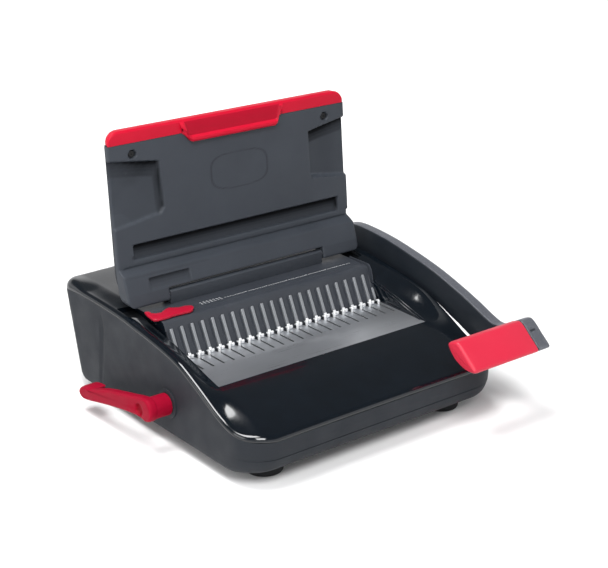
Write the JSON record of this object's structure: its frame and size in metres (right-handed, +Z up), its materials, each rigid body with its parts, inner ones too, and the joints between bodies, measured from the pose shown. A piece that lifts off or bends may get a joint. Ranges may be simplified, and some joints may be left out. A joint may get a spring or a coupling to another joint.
{
  "type": "comb binding machine",
  "caption": "Manual comb binding machine: a punch lever with a grip, a comb opener lever, a hinged paper-rest cover, an edge guide and a chip tray.",
  "frame": {"origin": "bottom centre of the bounding box, on the surface that the feet stand on", "axes": "+X to the right along the row of comb fingers, +Y to the back, +Z up"},
  "size_m": [0.425, 0.447, 0.338],
  "materials": {
    "housing_grey": "moulded, fine texture",
    "gloss_black": "high gloss",
    "deck_metal": "brushed",
    "bar_metal": "satin",
    "hook_metal": "bright",
    "liner_grey": "moulded, fine texture",
    "print_light": "printed ticks",
    "red_plastic": "satin",
    "red_grip": "soft satin",
    "lever_grey": "satin paint",
    "steel": "machined",
    "dark_steel": "oiled steel",
    "bronze": "sintered bronze",
    "rubber": "matte",
    "screw_black": "black oxide",
    "tray_grey": "moulded, fine texture"
  },
  "bodies": {
    "housing": {"base_tub": "housing_grey", "top_shell": "gloss_black", "deck_plate": "deck_metal", "comb_rest": "liner_grey", "comb_bars": "bar_metal", "scale_strip": "print_light", "hinge_block": "liner_grey", "hinge_pins": "steel", "side_frame_left": "steel", "side_frame_right": "steel", "tie_rods": "steel", "die_plate": "dark_steel", "pin_guide": "dark_steel", "throat_stop": "dark_steel", "drive_bushes": "bronze", "comb_bushes": "bronze", "lever_collar": "housing_grey", "guide_rail": "steel", "tray_runners": "tray_grey", "rubber_feet": "rubber", "foot_screws": "steel", "frame_screws": "steel"},
    "cover": {"cover_skin": "gloss_black", "cover_liner": "liner_grey", "cover_handle": "red_plastic", "liner_screws": "screw_black"},
    "punch_lever": {"lever_arm": "lever_grey", "lever_grip": "red_grip", "drive_shaft": "steel", "drive_pinions": "dark_steel", "pivot_bolt": "screw_black", "pivot_washer": "steel"},
    "punch": {"punch_bar": "dark_steel", "punch_pins": "steel", "punch_racks": "dark_steel"},
    "opener_lever": {"comb_lever": "red_plastic", "comb_shaft": "steel", "comb_pinions": "dark_steel", "shaft_clip": "steel"},
    "rake": {"rake_bar": "dark_steel", "rake_hooks": "hook_metal", "rake_racks": "dark_steel"},
    "guide": {"edge_guide": "red_plastic", "guide_slider": "tray_grey"},
    "tray": {"chip_tray": "tray_grey", "tray_front": "tray_grey"}
  },
  "joints": [
    {"name": "cover_hinge", "type": "hinge", "parent": "housing", "child": "cover", "pos_m": [0.0005, 0.0815, 0.1415], "axis": [1, 0, 0], "range_deg": [0, 113.5]},
    {"name": "punch_lever_hinge", "type": "hinge", "parent": "housing", "child": "punch_lever", "pos_m": [0.0045, 0.1305, 0.1], "axis": [1, 0, 0], "range_deg": [-80, 0]},
    {"name": "punch_slide", "type": "slide", "parent": "housing", "child": "punch", "axis": [0, 1, 0], "range_m": [0, 0.0112]},
    {"name": "comb_lever_hinge", "type": "hinge", "parent": "housing", "child": "opener_lever", "pos_m": [0.0045, -0.0125, 0.054], "axis": [1, 0, 0], "range_deg": [0, 95]},
    {"name": "rake_slide", "type": "slide", "parent": "housing", "child": "rake", "axis": [0, -1, 0], "range_m": [0, 0.0266]},
    {"name": "guide_slide", "type": "slide", "parent": "housing", "child": "guide", "axis": [1, 0, 0], "range_m": [0, 0.02]},
    {"name": "tray_slide", "type": "slide", "parent": "housing", "child": "tray", "axis": [0, 1, 0], "range_m": [0, 0.15]}
  ],
  "couplings": [
    {"joint": "punch_slide", "follows": "punch_lever_hinge", "m_per_rad": -0.008},
    {"joint": "rake_slide", "follows": "comb_lever_hinge", "m_per_rad": 0.016}
  ]
}
